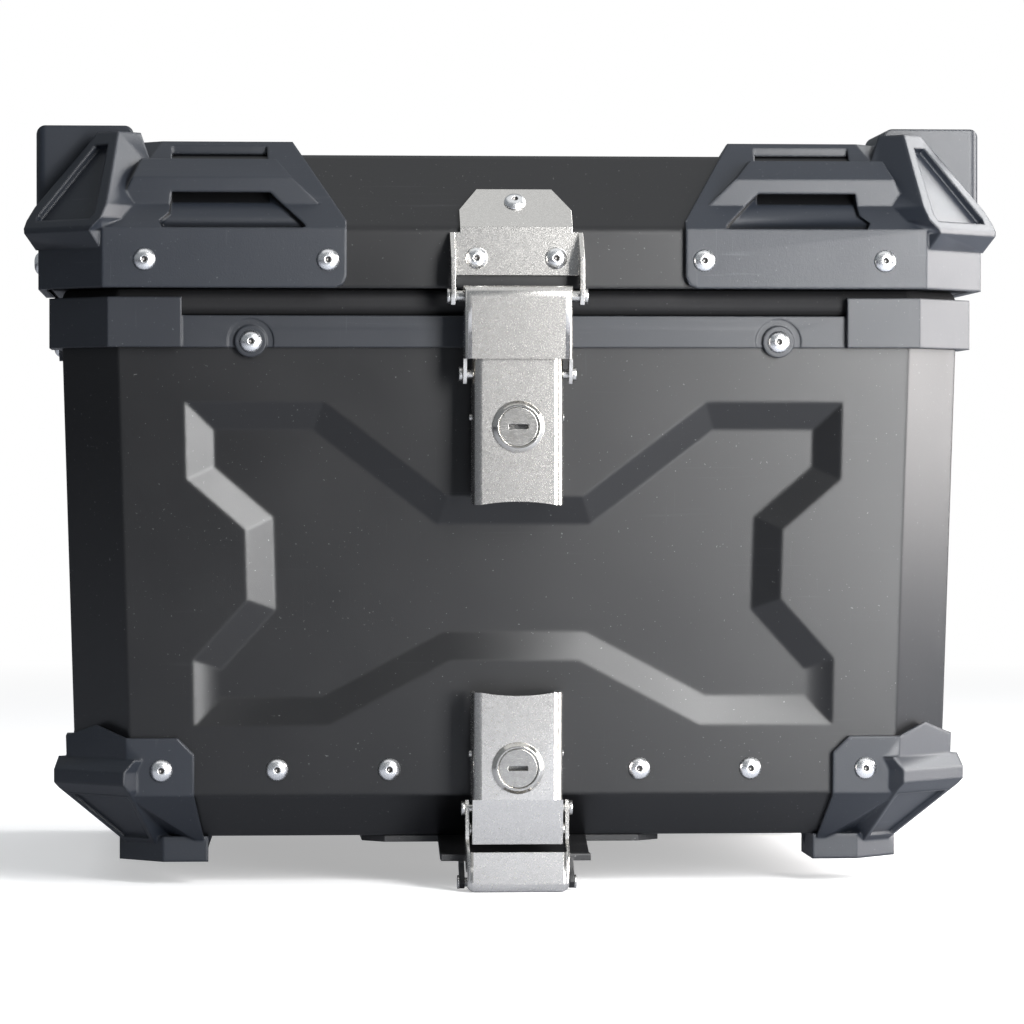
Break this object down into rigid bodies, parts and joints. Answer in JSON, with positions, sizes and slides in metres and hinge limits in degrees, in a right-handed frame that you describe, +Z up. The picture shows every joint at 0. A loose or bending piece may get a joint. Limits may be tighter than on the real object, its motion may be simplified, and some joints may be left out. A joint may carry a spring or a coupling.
{
  "type": "motorcycle top case",
  "caption": "Aluminium motorcycle top case with hinged lid, corner guards, two key-locked draw latches and a quick-release rack plate.",
  "frame": {"origin": "centre of the rack plate's four bolt slots, on the plate's underside", "axes": "+Z up, -Y towards the latch side, +X to the right seen from the latches"},
  "size_m": [0.4194, 0.3905, 0.3278],
  "materials": {
    "powder_black": "satin powder coat, fine grain",
    "guard_plastic": "fine moulded texture",
    "ring_plastic": "moulded, light satin",
    "seal_rubber": "matte bulb rubber",
    "liner_felt": "needled felt",
    "latch_steel": "blasted satin, warm silver",
    "lock_chrome": "satin nickel plate",
    "rivet_aluminium": "bright tumbled",
    "pin_steel": "turned",
    "hinge_steel": "black coat",
    "plate_black": "black powder coat",
    "raw_aluminium": "mill"
  },
  "bodies": {
    "case": {"body_shell": "powder_black", "floor_pan": "raw_aluminium", "floor_mat": "liner_felt", "mouth_ring": "ring_plastic", "mouth_seal": "seal_rubber", "lower_cap_front_right": "guard_plastic", "lower_cap_front_left": "guard_plastic", "lower_cap_rear_right": "guard_plastic", "lower_cap_rear_left": "guard_plastic", "mouth_ring_rivets": "rivet_aluminium", "cap_rivets": "rivet_aluminium", "wall_rivets": "rivet_aluminium", "hinge_body_leaf": "hinge_steel", "hinge_body_rivets": "rivet_aluminium", "hinge_pin": "pin_steel", "top_latch_base": "latch_steel", "top_base_rivets": "rivet_aluminium", "top_pivot_pin": "pin_steel", "low_latch_base": "latch_steel", "low_base_rivets": "rivet_aluminium", "low_pivot_pin": "pin_steel", "plate_tongues": "plate_black", "tongue_rivets": "rivet_aluminium"},
    "lid": {"lid_shell": "powder_black", "lid_rim": "ring_plastic", "lid_pad": "liner_felt", "lid_guard_front_right": "guard_plastic", "lid_guard_front_left": "guard_plastic", "lid_guard_rear_right": "guard_plastic", "lid_guard_rear_left": "guard_plastic", "lid_guard_rivets": "rivet_aluminium", "lid_bracket": "latch_steel", "bracket_rivets": "rivet_aluminium", "lid_hook_pin": "pin_steel", "hinge_lid_leaf": "hinge_steel", "hinge_lid_rivets": "rivet_aluminium"},
    "top_lever": {"top_lever": "latch_steel", "top_link_pin": "pin_steel", "top_lever_studs": "pin_steel", "top_lock_body": "lock_chrome", "top_lock_nut": "lock_chrome"},
    "top_link": {"top_link": "latch_steel"},
    "top_lock": {"top_lock_plug": "lock_chrome", "top_lock_cam": "lock_chrome"},
    "low_lever": {"low_lever": "latch_steel", "low_bail_pin": "pin_steel", "low_lever_studs": "pin_steel", "low_lock_body": "lock_chrome", "low_lock_nut": "lock_chrome"},
    "low_bail": {"low_bail": "latch_steel"},
    "low_lock": {"low_lock_plug": "lock_chrome", "low_lock_cam": "lock_chrome"},
    "rack_plate": {"rack_plate": "plate_black", "plate_hook_pin": "pin_steel"}
  },
  "joints": [
    {"name": "lid_hinge", "type": "hinge", "parent": "case", "child": "lid", "pos_m": [0, 0.187, 0.2345], "axis": [-1, 0, 0], "range_deg": [0, 95]},
    {"name": "top_lever_swing", "type": "hinge", "parent": "case", "child": "top_lever", "pos_m": [0, -0.1906, 0.213], "axis": [-1, 0, 0], "range_deg": [0, 80]},
    {"name": "top_link_swing", "type": "hinge", "parent": "top_lever", "child": "top_link", "pos_m": [0, -0.19, 0.2016], "axis": [-1, 0, 0], "range_deg": [-80, 0]},
    {"name": "top_lock_turn", "type": "hinge", "parent": "top_lever", "child": "top_lock", "pos_m": [0, -0.19, 0.1792], "axis": [0, 1, 0], "range_deg": [0, 90]},
    {"name": "low_lever_swing", "type": "hinge", "parent": "case", "child": "low_lever", "pos_m": [0, -0.1859, 0.008], "axis": [1, 0, 0], "range_deg": [0, 90]},
    {"name": "low_bail_swing", "type": "hinge", "parent": "low_lever", "child": "low_bail", "pos_m": [0, -0.1853, 0.017], "axis": [1, 0, 0], "range_deg": [-90, 0]},
    {"name": "low_lock_turn", "type": "hinge", "parent": "low_lever", "child": "low_lock", "pos_m": [0, -0.187, 0.0345], "axis": [0, 1, 0], "range_deg": [0, 90]},
    {"name": "plate_release", "type": "slide", "parent": "case", "child": "rack_plate", "axis": [0, 1, 0], "range_m": [0, 0.022]}
  ],
  "couplings": [
    {"joint": "top_link_swing", "follows": "top_lever_swing", "ratio": -1},
    {"joint": "low_bail_swing", "follows": "low_lever_swing", "ratio": -1}
  ]
}
